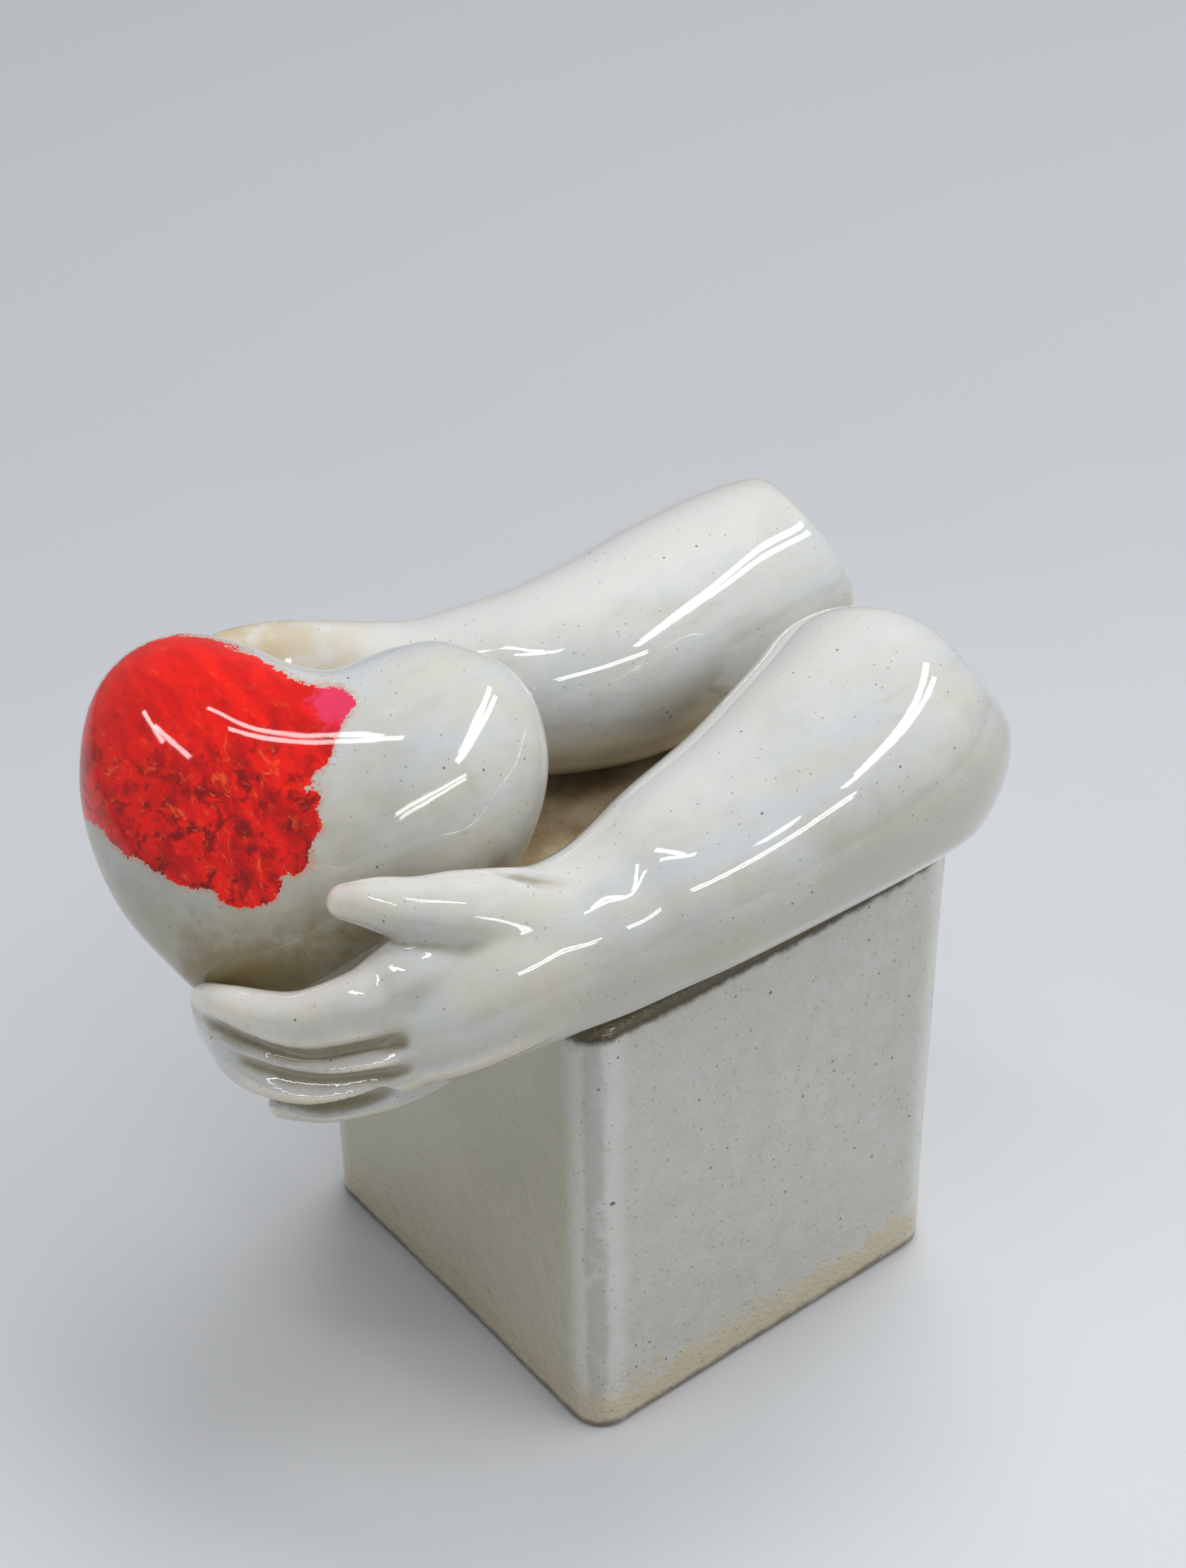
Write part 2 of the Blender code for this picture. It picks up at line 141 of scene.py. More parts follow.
# The far hand's lines run between its fingers: the depths from the knuckles on, the tool's half width,
# and how far out from the middle of the clay they lie, as a share of its radius
VALLEY_DEPTHS = (0.0, 1.2, 2.2, 2.6, 2.4, 2.0, 1.4)
VALLEY_HALF_WIDTH = 2.4
VALLEY_OUTWARDS = 0.8
LINE_STEPS = 6
WRIST_ROUNDING = 6.0
LEFT_ELBOW_ROUNDING = 8.0
RIGHT_ELBOW_ROUNDING = 4.0
# The clay was cut at a slant at the elbows, and the cut's edge was rubbed round
ELBOW_CUT = Vector((0.845, -0.166, 0.511)).normalized()
SHAVE_SOFTNESS = 2.5 * MM
LEFT_CUT_DEPTH = 0.8 * MM
RIGHT_CUT_DEPTH = 2.0 * MM
# The near arm's underside was shaved along the plinth's rim
RIM_CUT = Vector((0, -0.69, -0.724)).normalized()
RIM_CUT_DEPTH = 1.8 * MM
PALM_BROAD_WAY = Vector((0.38, 0.47, 0.80))
PALM_FLATNESS = 0.72
# How long the domes are that close the ends of the palm and fingers, as a share of the radius there
PALM_END = 0.6
KNUCKLE_END = 0.9
FINGERTIP_END = 0.98
LIMB_SIDES = 72
FINGER_SIDES = 40
LOFT_STEPS = 10
DOME_ANGLES = range(9, 90, 9)
CLAY_VOXEL = 0.5 * MM
CLAY_SMOOTHING = 14
# The clay is stroked smooth where X is above the wrist's start, and keeps its shape where X is below its end
WRIST_END = -50 * MM
WRIST_START = -40 * MM
WRIST_SMOOTHING = 90
# The glaze gets thinner from the forearm towards the fingers, as X goes from the start to the end
THIN_START = -22 * MM
THIN_END = -42 * MM
LEFT_THINNESS = 0.05
RIGHT_THINNESS = 0.9
# Where the painted light on each arm comes from: the side facing this way is painted palest
LEFT_LIT_SIDE = Vector((-0.1, 0.6, 0.8))
RIGHT_LIT_SIDE = Vector((-0.3, 0.3, 0.9))
RELIEF_ROUNDS = 60
HEART_RELIEF_ROUNDS = 16
# The glaze pools, and painted shade falls, a little beyond the tool's own width, and by this much for each
# millimetre of depth
POOL_AND_SHADE_WIDENING = 1.1
POOL_AND_SHADE_SHARE = 0.42
SHELTER_RAYS = 12
SHELTER_REACH = 16 * MM
# The rays start this far off the surface, so that they don't hit it
SHELTER_START = 0.15 * MM

# ---------------------------------------------------------------- the heart
# It has a dome on each side of a middle plane
HEART_CENTRE = Vector((-51.2, 11.6, 105.3)) * MM
HEART_NORMAL = Vector((-0.49, -0.63, 0.60)).normalized()
HEART_ACROSS = UP.cross(HEART_NORMAL).normalized()
HEART_UPWARDS = HEART_NORMAL.cross(HEART_ACROSS)
HEART_FRONT_RISE = 16.0
HEART_BACK_RISE = 13.0
HEART_OUTLINE = [
    (2.9, 23.4), (11.4, 27.4), (19.8, 28.6), (29.3, 25.0), (34.0, 19.6), (36.2, 11.3), (35.3, 3.0),
    (31.7, -5.4), (24.5, -14.3), (13.8, -23.2), (2.5, -29.0), (-8.8, -30.6), (-16.0, -27.4), (-22.5, -21.4),
    (-30.0, -13.0), (-34.8, -2.8), (-36.6, 7.7), (-35.0, 19.4), (-29.4, 27.2), (-20.3, 30.6),
    (-10.0, 28.2), (-2.9, 24.6),
]
# Below 1, these powers make the dome fuller, its shoulder steeper and its cleft shorter
HEART_FULLNESS = 0.8
HEART_SHOULDER = 0.9
CLEFT_FADE = 0.7
HEART_STEPS = 8
# The rings of points stop short of the dome's top, and crowd towards its rim
HEART_RINGS = 34
HEART_TOP_TURN = math.radians(87)
RING_CROWDING = 1.15
# The dome's top follows an outline averaged over this many points to each side
HEART_SOFTNESS = 18
# The groove where the two halves were joined
SEAM_DEPTH = 0.55
SEAM_WIDTH = 1.1
# The paint stops this far in front of the middle plane
PATCH_LOWEST = 2.0
# The painted patch's outline on the front dome, across and up from the heart's centre
PATCH_OUTLINE = [
    (-37.0, 21.0), (-31.5, 26.5), (-25.0, 29.0), (-19.0, 29.5), (-12.5, 27.8), (-7.0, 25.0), (-2.0, 22.2),
    (1.0, 21.2), (5.0, 21.0), (7.2, 18.7), (5.8, 16.0), (4.5, 13.5), (4.0, 10.5), (0.0, 6.0),
    (2.0, 5.2), (1.6, 2.5), (2.3, 0.0), (0.6, -2.6), (1.0, -5.2), (-1.5, -7.1), (-3.6, -6.6), (-3.8, -9.2),
    (-6.0, -11.2), (-9.5, -11.8), (-12.5, -10.8), (-14.5, -8.8), (-19.0, -8.4), (-21.2, -6.8), (-25.3, -4.6),
    (-28.5, -3.0), (-32.0, 0.5), (-38.5, 5.0),
]
PATCH_STEPS = 4
# The patch's tip by the cleft is magenta
MAGENTA_TIP = HEART_CENTRE + (HEART_ACROSS * 5.5 + HEART_UPWARDS * 18.6 + HEART_NORMAL * 11.0) * MM

# ---------------------------------------------------------------- the camera
CAMERA_PLACE = Vector((-0.2272, -0.2858, 0.3712))
CAMERA_YAW = math.radians(37.67)
CAMERA_PITCH = math.radians(37.0)
CAMERA_ROLL = math.radians(-0.82)
CAMERA_LENS = 65.1
CAMERA_SENSOR = 36

# Pairs of ceiling tubes run along X over the object: where a pair starts and ends, how wide each tube is, and
# how far forward the two hang
TUBE_PAIRS = [
    (-0.70, -0.12, 0.06, 0.15, 0.36), (-0.05, 1.55, 0.10, 0.66, 0.88), (-1.55, -0.95, 0.06, -0.50, -0.15),
    (-0.80, 0.30, 0.06, 1.85, 2.02),
]
TUBE_HEIGHT = 1.3
TUBE_BRIGHTNESS = 28.0
LIT_PLACE = Vector((0, 0, 0.1))
# The other lamps: the place, the side of the square and the power
FILL = (Vector((1.0, -1.3, 0.9)), 1.4, 2.0)
CEILING = (Vector((0.4, 0.25, 1.6)), 0.7, 10.0)
ROOM_COLOUR = (0.84, 0.85, 0.87)
ROOM_STRENGTH = 0.33
FLOOR_SIZE = 12.0


# ================================================================ mesh helpers

def add_mesh(name, bm, closed=True):
    """Turn a bmesh into a smooth-shaded object in the scene."""
    if closed:
        bmesh.ops.recalc_face_normals(bm, faces=bm.faces[:])
    mesh = bpy.data.meshes.new(name)
    bm.to_mesh(mesh)
    bm.free()
    mesh.shade_smooth()
    made = bpy.data.objects.new(name, mesh)
    bpy.context.scene.collection.objects.link(made)
    return made


def settle(item):
    """Replace an object's mesh with what its modifiers make of it."""
    made = bpy.data.meshes.new_from_object(item.evaluated_get(bpy.context.evaluated_depsgraph_get()))
    old = item.data
    item.modifiers.clear()
    item.data = made
    bpy.data.meshes.remove(old)


def smooth_path(stations, steps, closed=False):
    """Catmull-Rom curve through the stations, each a tuple of numbers."""
    rows = [Vector(row) for row in stations]
    count = len(rows)
    path = []
    for span in range(count if closed else count - 1):
        if closed:
            before, start, end, after = (rows[(span + k) % count] for k in (-1, 0, 1, 2))
        else:
            before, start, end, after = (rows[min(max(span + k, 0), count - 1)] for k in (-1, 0, 1, 2))
        for step in range(steps):
            t = step / steps
            path.append(0.5 * (2 * start + (end - before) * t
                               + (2 * before - 5 * start + 4 * end - after) * t ** 2
                               + (3 * start - before - 3 * end + after) * t ** 3))
    if not closed:
        path.append(rows[-1])
    return path


def ring_at(bm, centre, along, radius, broad, flatness, sides, floor=None):
    """An ellipse of points across a limb, with its lowest points kept up at a floor."""
    wide = (broad - broad.dot(along) * along).normalized()
    thin = along.cross(wide)
    ring = []
    for side in range(sides):
        turn = 2 * math.pi * side / sides
        point = centre + wide * radius * math.cos(turn) + thin * radius * flatness * math.sin(turn)
        if floor is not None:
            point.z = max(point.z, floor)
        ring.append(bm.verts.new(point * MM))
    return ring


def loft(bm, stations, sides, broad=UP, end_flatness=1.0, round_start=None, round_end=None, floor=None):
    """Sweep an ellipse along the stations; a rounding in millimetres closes an end as a blunt dome."""
    path = smooth_path(stations, LOFT_STEPS)
    centres = [Vector(row[:3]) for row in path]
    radii = [row[3] for row in path]
    last = len(path) - 1
    rings = []

    def dome(centre, along, radius, rounding, flatness, outwards):
        """Rings that close an end, from its rim to its blunt tip."""
        made = []
        for angle in DOME_ANGLES:
            turn = math.radians(angle)
            inset = rounding * (1 - math.cos(turn))
            moved = centre + along * outwards * rounding * math.sin(turn)
            made.append(ring_at(bm, moved, along, radius - inset, broad, flatness, sides, floor))
        return made

    for index, centre in enumerate(centres):
        along = (centres[min(index + 1, last)] - centres[max(index - 1, 0)]).normalized()
        flatness = 1 + (end_flatness - 1) * index / last
        ring = ring_at(bm, centre, along, radii[index], broad, flatness, sides, floor)
        if index == 0 and round_start:
            rings += reversed(dome(centre, along, radii[0], round_start, flatness, -1))
        rings.append(ring)
        if index == last and round_end:
            rings += dome(centre, along, radii[last], round_end, flatness, 1)
    bridge(bm, rings)
    bm.faces.new(list(reversed(rings[0])))
    bm.faces.new(rings[-1])


def bridge(bm, rings):
    """Faces between each ring of points and the next."""
    for near, far in zip(rings, rings[1:]):
        for index in range(len(near)):
            after = (index + 1) % len(near)
            bm.faces.new((near[index], near[after], far[after], far[index]))


def close_with_fan(bm, ring):
    """Close a ring with triangles that meet at its middle."""
    middle = bm.verts.new(sum((vert.co for vert in ring), Vector()) / len(ring))
    for index, vert in enumerate(ring):
        bm.faces.new((vert, ring[(index + 1) % len(ring)], middle))


def read_points(mesh):
    points = np.empty(len(mesh.vertices) * 3)
    mesh.vertices.foreach_get("co", points)
    return points.reshape(-1, 3)


def read_normals(mesh):
    normals = np.empty(len(mesh.vertices) * 3)
    mesh.vertex_normals.foreach_get("vector", normals)
    return normals.reshape(-1, 3)


def write_points(mesh, points):
    mesh.vertices.foreach_set("co", points.ravel())
    mesh.update()


def write_value(mesh, name, values):
    """Keep one number for each point, which the mesh's material reads by name."""
    left_over = mesh.attributes.get(name)
    if left_over:
        mesh.attributes.remove(left_over)
    layer = mesh.attributes.new(name, "FLOAT", "POINT")
    layer.data.foreach_set("value", np.asarray(values, np.float32))


def relief(mesh, rounds):
    """How far each point stands out of the surface round it, in millimetres; below 0 in hollows."""
    points = read_points(mesh)
    return ((points - neighbour_mean(mesh, points, rounds)) * read_normals(mesh)).sum(axis=1) / MM


def shelter(items, reach):
    """Give each point the share of the open space round it that other clay takes up, within a reach; the
    materials paint shade from it.
    """
    bm = bmesh.new()
    for item in items:
        bm.from_mesh(item.data)
    tree = BVHTree.FromBMesh(bm)
    bm.free()
    spiral = []
    for step in range(SHELTER_RAYS):
        high = 1 - (step + 0.5) / SHELTER_RAYS
        turn = step * math.pi * (3 - math.sqrt(5))
        flat = math.sqrt(1 - high * high)
        spiral.append(Vector((flat * math.cos(turn), flat * math.sin(turn), high)))
    for item in items:
        taken = np.zeros((len(item.data.vertices), 1))
        for index, vert in enumerate(item.data.vertices):
            normal = vert.normal
            turned = normal.to_track_quat("Z", "Y").to_matrix()
            start = vert.co + normal * SHELTER_START
            hits = 0.0
            for ray in spiral:
                distance = tree.ray_cast(start, turned @ ray, reach)[3]
                if distance is not None:
                    hits += 1 - distance / reach
            taken[index] = hits / SHELTER_RAYS
        write_value(item.data, "shelter", neighbour_mean(item.data, taken, 3)[:, 0])


# ================================================================ the heart

def heart_point(sharp, soft, turn, rise):
    """A point on the dome above a point of the rim.

    The cleft fades into a shallow saddle as the dome rises.
    """
    scale = math.cos(turn) ** HEART_FULLNESS
    height = rise * math.sin(turn) ** HEART_SHOULDER
    return sharp.lerp(soft, math.sin(turn) ** CLEFT_FADE) * scale, height


def make_heart():
    """One closed, puffy heart; a shallow groove round its rim shows where its two halves were joined."""
    outline = [Vector(point) for point in smooth_path(HEART_OUTLINE, HEART_STEPS, closed=True)]
    reach = range(-HEART_SOFTNESS, HEART_SOFTNESS + 1)
    soft_outline = []
    for index in range(len(outline)):
        near = (outline[(index + step) % len(outline)] for step in reach)
        soft_outline.append(sum(near, Vector((0, 0))) / len(reach))
    bm = bmesh.new()
    rings = []
    turns = [HEART_TOP_TURN * (index / HEART_RINGS) ** RING_CROWDING for index in range(HEART_RINGS + 1)]
    for rise, side_turns in ((-HEART_BACK_RISE, list(reversed(turns[1:]))), (HEART_FRONT_RISE, turns)):
        for turn in side_turns:
            ring = []
            for sharp, soft in zip(outline, soft_outline):
                flat, height = heart_point(sharp, soft, turn, rise)
                groove = SEAM_DEPTH * math.exp(-(height / SEAM_WIDTH) ** 2)
                flat = flat - flat.normalized() * groove
                ring.append(bm.verts.new(HEART_CENTRE + (HEART_ACROSS * flat.x + HEART_UPWARDS * flat.y
                                                         + HEART_NORMAL * height) * MM))
            rings.append(ring)
    bridge(bm, rings)
    close_with_fan(bm, rings[0])
    close_with_fan(bm, rings[-1])
    heart = add_mesh("heart", bm)
    mesh = heart.data
    points = read_points(mesh)
    write_value(mesh, "patch", patch_depth(points))
    write_value(mesh, "upwards", heart_places(points)[:, 1])
    write_value(mesh, "relief", relief(mesh, HEART_RELIEF_ROUNDS))
    return heart


def heart_places(points):
    """Each point's place across, up and out from the heart's centre, in millimetres."""
    axes = np.array([HEART_ACROSS, HEART_UPWARDS, HEART_NORMAL])
    return (points - np.array(HEART_CENTRE)) @ axes.T / MM


def patch_depth(points):
    """How deep each point lies inside the painted patch, in millimetres; below 0 outside it."""
    places = heart_places(points)
    outline = np.array([tuple(point) for point in smooth_path(PATCH_OUTLINE, PATCH_STEPS, closed=True)])
    ends = np.roll(outline, -1, axis=0)
    nearest = np.full(len(places), 1e9)
    inside = np.zeros(len(places), bool)
    for start, end in zip(outline, ends):
        span = end - start
        share = np.clip(((places[:, :2] - start) @ span) / (span @ span), 0, 1)
        away = np.hypot(*(places[:, :2] - start - share[:, None] * span).T)
        nearest = np.minimum(nearest, away)
        crosses = (start[1] > places[:, 1]) != (end[1] > places[:, 1])
        with np.errstate(divide="ignore", invalid="ignore"):
            at = start[0] + (places[:, 1] - start[1]) * span[0] / span[1]
        inside ^= crosses & (places[:, 0] < at)
    depth = np.where(inside, nearest, -nearest)
    return np.minimum(depth, places[:, 2] - PATCH_LOWEST)


# ================================================================ the arms

def make_arm(name, forearm, hand, lines, rounding, cuts, lit_side, thinness, heart):
    """Forearm, palm, thumb and fingers fused like wet clay, then pressed against the heart."""
    bm = bmesh.new()
    loft(bm, forearm, LIMB_SIDES, round_start=WRIST_ROUNDING, round_end=rounding, floor=REST_LEVEL / MM)
    palm = hand["palm"]
    loft(bm, palm, LIMB_SIDES, PALM_BROAD_WAY, PALM_FLATNESS, round_end=palm[-1][3] * PALM_END)
    fingers = [stations for part, stations in hand.items() if part != "palm"]
    webs = [between(hand[first], hand[second]) for first, second in (("index", "middle"), ("middle", "ring"))]
    for finger in fingers + webs:
        loft(bm, finger, FINGER_SIDES,
             round_start=finger[0][3] * KNUCKLE_END, round_end=finger[-1][3] * FINGERTIP_END)
    arm = add_mesh(name, bm)
    fuse = arm.modifiers.new("Fuse", "REMESH")
    fuse.mode = "VOXEL"
    fuse.voxel_size = CLAY_VOXEL
    soften = arm.modifiers.new("Soften", "SMOOTH")
    soften.factor = 0.5
    soften.iterations = CLAY_SMOOTHING
    settle(arm)
    smooth_wrist(arm.data)
    for direction, depth in cuts:
        shave(arm.data, direction, depth)
    draw_tool(arm.data, lines)
    even_out(arm.data, 3)
    keep_off_plinth(arm.data)
    press = arm.modifiers.new("Press", "BOOLEAN")
    press.operation = "DIFFERENCE"
    press.object = heart
    settle(arm)
    arm.data.shade_smooth()
    # The tool's valleys count as hollows, so they get pooling glaze and painted shade
    pressed = tool_depth(read_points(arm.data), lines, POOL_AND_SHADE_WIDENING) / MM
    write_value(arm.data, "relief", relief(arm.data, RELIEF_ROUNDS) - POOL_AND_SHADE_SHARE * pressed)
    # Which way each point faces the painted light; the glaze paints the side facing it paler and the far side
    # shaded
    write_value(arm.data, "lit_side", read_normals(arm.data) @ np.array(lit_side))
    towards_fingers = (THIN_START - read_points(arm.data)[:, 0]) / (THIN_START - THIN_END)
    write_value(arm.data, "thin", np.clip(towards_fingers, 0, 1) * thinness)
    return arm


def shave(mesh, direction, depth):
    """Press back the clay that stands furthest in a direction, with a soft edge round the flat."""
    points = read_points(mesh)
    along = points @ np.array(direction)
    start = along.max() - depth - SHAVE_SOFTNESS
    past = np.maximum(along - start, 0)
    pressed = SHAVE_SOFTNESS * (1 - np.exp(-past / SHAVE_SOFTNESS))
    write_points(mesh, points + np.outer(pressed - past, direction))


def smooth_wrist(mesh):
    """The wrist and forearm were stroked smooth; only the fingers and the thumb's end keep their shape."""
    points = read_points(mesh)
    soft = neighbour_mean(mesh, points, WRIST_SMOOTHING, 0.5)
    share = np.clip((points[:, 0] - WRIST_END) / (WRIST_START - WRIST_END), 0, 1)[:, None]
    write_points(mesh, points + (soft - points) * share)


def tool_depth(points, lines, widening=1.0):
    """How deep, in metres, the tool's lines press at each point; below 0 where they pinch the clay out."""
    total = np.zeros(len(points))
    for half_width, stations in lines:
        path = np.array([tuple(row) for row in smooth_path(stations, LINE_STEPS)]) * MM
        away = np.full(len(points), 1e9)
        depth = np.zeros(len(points))
        for start, end in zip(path, path[1:]):
            span = end[:3] - start[:3]
            share = np.clip((points - start[:3]) @ span / (span @ span), 0, 1)
            distance = np.linalg.norm(points - start[:3] - share[:, None] * span, axis=1)
            closer = distance < away
            away[closer] = distance[closer]
            depth[closer] = (start[3] + share * (end[3] - start[3]))[closer]
        total += depth * np.clip(1 - (away / (half_width * widening * MM)) ** 2, 0, 1)
    return total


def draw_tool(mesh, lines):
    """Press the tool's lines into the clay."""
    points = read_points(mesh)
    write_points(mesh, points - read_normals(mesh) * tool_depth(points, lines)[:, None])


def neighbour_mean(mesh, values, rounds, share=1.0):
    """Average each point's values with its neighbours', over and over."""
    ends = np.empty(len(mesh.edges) * 2, int)
    mesh.edges.foreach_get("vertices", ends)
    first, second = ends[::2], ends[1::2]
    count = len(values)
    links = np.bincount(ends, minlength=count)[:, None]
    soft = values.copy()
    for _ in range(rounds):
        total = np.empty_like(soft)
        for column in range(soft.shape[1]):
            total[:, column] = (np.bincount(first, soft[second, column], count)
                                + np.bincount(second, soft[first, column], count))
        soft += (total / links - soft) * share
    return soft


def even_out(mesh, rounds):
    """Soften small bumps."""
    write_points(mesh, neighbour_mean(mesh, read_points(mesh), rounds, 0.5))


def valleys(hand):
    """Tool lines along the outer side of a hand, one between each finger and the next."""
    middle = HEART_CENTRE / MM
    lines = []
    for first, second in (("index", "middle"), ("middle", "ring"), ("ring", "little")):
        line = []
        for station, depth in zip(between(hand[first], hand[second]), VALLEY_DEPTHS):
            centre = Vector(station[:3])
            outer = centre + (centre - middle).normalized() * station[3] * VALLEY_OUTWARDS
            line.append((*outer, depth))
        lines.append((VALLEY_HALF_WIDTH, line))
    return lines


def between(first, second):
    """Stations halfway between two fingers, which fill the crease between them."""
    spans = len(VALLEY_DEPTHS) - 1
    paths = [smooth_path(stations, spans) for stations in (first, second)]
    halfway = []
    for step in range(spans + 1):
        near, far = (path[round((len(path) - 1) * step / spans)] for path in paths)
        halfway.append(tuple((near + far) / 2))
    return halfway


def keep_off_plinth(mesh):
    """Lift what would lie inside the plinth to just above its top."""
    points = read_points(mesh)
    over = ((np.abs(points[:, 0]) < HALF_WIDTH + CLEARANCE)
            & (np.abs(points[:, 1]) < HALF_DEPTH + CLEARANCE))
    low = over & (points[:, 2] < REST_LEVEL)
    points[low, 2] = REST_LEVEL
    write_points(mesh, points)


# ================================================================ the plinth

def rounded_ring(bm, inset, radius, z, shift=None):
    """A ring of points: the plinth's outline at a height, some way in from its sides, with round corners."""
    half_x, half_y = HALF_WIDTH - inset, HALF_DEPTH - inset
    ring = []
    corners = [(1, 1), (-1, 1), (-1, -1), (1, -1)]
    for number, (sx, sy) in enumerate(corners):
        middle = Vector((sx * (half_x - radius), sy * (half_y - radius)))
        start = math.pi / 2 * number
        for step in range(CORNER_STEPS + 1):
            turn = start + math.pi / 2 * step / CORNER_STEPS
            ring.append(Vector((middle.x + radius * math.cos(turn), middle.y + radius * math.sin(turn), z)))
        nx, ny = corners[(number + 1) % 4]
        after = Vector((nx * (half_x - radius), ny * (half_y - radius)))
        turn = start + math.pi / 2
        first = ring[-1].copy()
        last = Vector((after.x + radius * math.cos(turn), after.y + radius * math.sin(turn), z))
        for step in range(1, SIDE_STEPS):
            ring.append(first.lerp(last, step / SIDE_STEPS))
    return [bm.verts.new(shift(point) if shift else point) for point in ring]


def plinth_wobble(point):
    """Hand-built walls are never quite flat."""
    push = sum(noise.noise(point * density + shift) * depth for density, shift, depth in WOBBLES)
    outwards = Vector((point.x / HALF_WIDTH, point.y / HALF_DEPTH, 0))
    return point + outwards * push


def make_plinth_walls():
    """The glazed coat: four walls in one, rolled over the rim at the top and wiped clean at the foot."""
    bm = bmesh.new()
    levels = []
    for step in range(WALL_STEPS + 1):
        levels.append((0.0, GLAZE_LINE + (TOP - RIM_RADIUS - GLAZE_LINE) * (step / WALL_STEPS)))
    for step in range(1, RIM_STEPS + 1):
        turn = math.pi / 2 * step / RIM_STEPS
        levels.append((RIM_RADIUS * (1 - math.cos(turn)), TOP - RIM_RADIUS + RIM_RADIUS * math.sin(turn)))
    rings = [rounded_ring(bm, inset, CORNER_RADIUS - inset, z, plinth_wobble) for inset, z in levels]
    rings += [rounded_ring(bm, RIM_RADIUS + COAT_THICKNESS, 2 * MM, z) for z in (TOP, GLAZE_LINE)]
    rings.append(rings[0])
    bridge(bm, rings)
    walls = add_mesh("plinth_walls", bm)
    points = read_points(walls.data)
    inwards = np.maximum(HALF_WIDTH - np.abs(points[:, 0]), HALF_DEPTH - np.abs(points[:, 1]))
    write_value(walls.data, "from_corner", inwards / MM)
    return walls


def make_plinth_top():
    """The bare clay slab inside the rim, just below its crest."""
    bm = bmesh.new()
    rings = [rounded_ring(bm, inset, 2 * MM, z) for inset, z in TOP_PROFILE]
    bridge(bm, rings)
    close_with_fan(bm, rings[0])
    close_with_fan(bm, rings[-1])
    return add_mesh("plinth_top", bm)


def make_plinth_foot():
    """The unglazed foot, with a vent hole so that the hollow plinth could be fired."""
    bm = bmesh.new()
    rings = [rounded_ring(bm, 4 * MM, 3 * MM, FOOT_PROFILE[0][1])]
    rings += [rounded_ring(bm, inset, CORNER_RADIUS - inset, z) for inset, z in FOOT_PROFILE]
    bridge(bm, rings)
    close_with_fan(bm, rings[0])
    close_with_fan(bm, rings[-1])
    foot = add_mesh("plinth_foot", bm)
    punch_vent(foot)
    return foot


def punch_vent(foot):
    """Cut the vent hole through the foot."""
    bm = bmesh.new()
    bmesh.ops.create_cone(bm, cap_ends=True, segments=48, radius1=VENT_RADIUS, radius2=VENT_RADIUS,
                          depth=40 * MM, matrix=Matrix.Translation(VENT_PLACE))
    punch = add_mesh("punch", bm)
    cut = foot.modifiers.new("Vent", "BOOLEAN")
    cut.operation = "DIFFERENCE"
    cut.object = punch
    settle(foot)
    bpy.data.objects.remove(punch)
    foot.data.shade_smooth()


# ================================================================ materials

